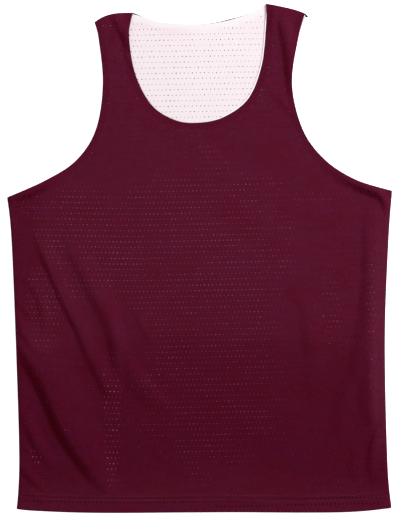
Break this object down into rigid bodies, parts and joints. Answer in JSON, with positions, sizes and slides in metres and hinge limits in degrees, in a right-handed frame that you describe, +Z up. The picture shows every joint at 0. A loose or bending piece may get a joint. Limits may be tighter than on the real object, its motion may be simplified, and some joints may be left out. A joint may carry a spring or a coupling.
{
  "type": "basketball jersey",
  "caption": "Sleeveless reversible basketball jersey of pinhole mesh, maroon outside and white inside, laid flat with creases in its front.",
  "frame": {"origin": "on the surface that the jersey lies on, under the middle of its bounding box", "axes": "+X across the chest to the right in the picture, +Y from the hem to the shoulders, +Z up out of the front"},
  "size_m": [0.538, 0.7112, 0.0142],
  "materials": {
    "maroon_mesh": "soft knitted polyester mesh with pinholes, low sheen",
    "white_mesh": "soft knitted polyester mesh with pinholes, matte"
  },
  "bodies": {
    "root": {"back_outer": "maroon_mesh", "back_inner": "white_mesh", "front_inner": "white_mesh", "front_outer": "maroon_mesh"}
  },
  "joints": []
}
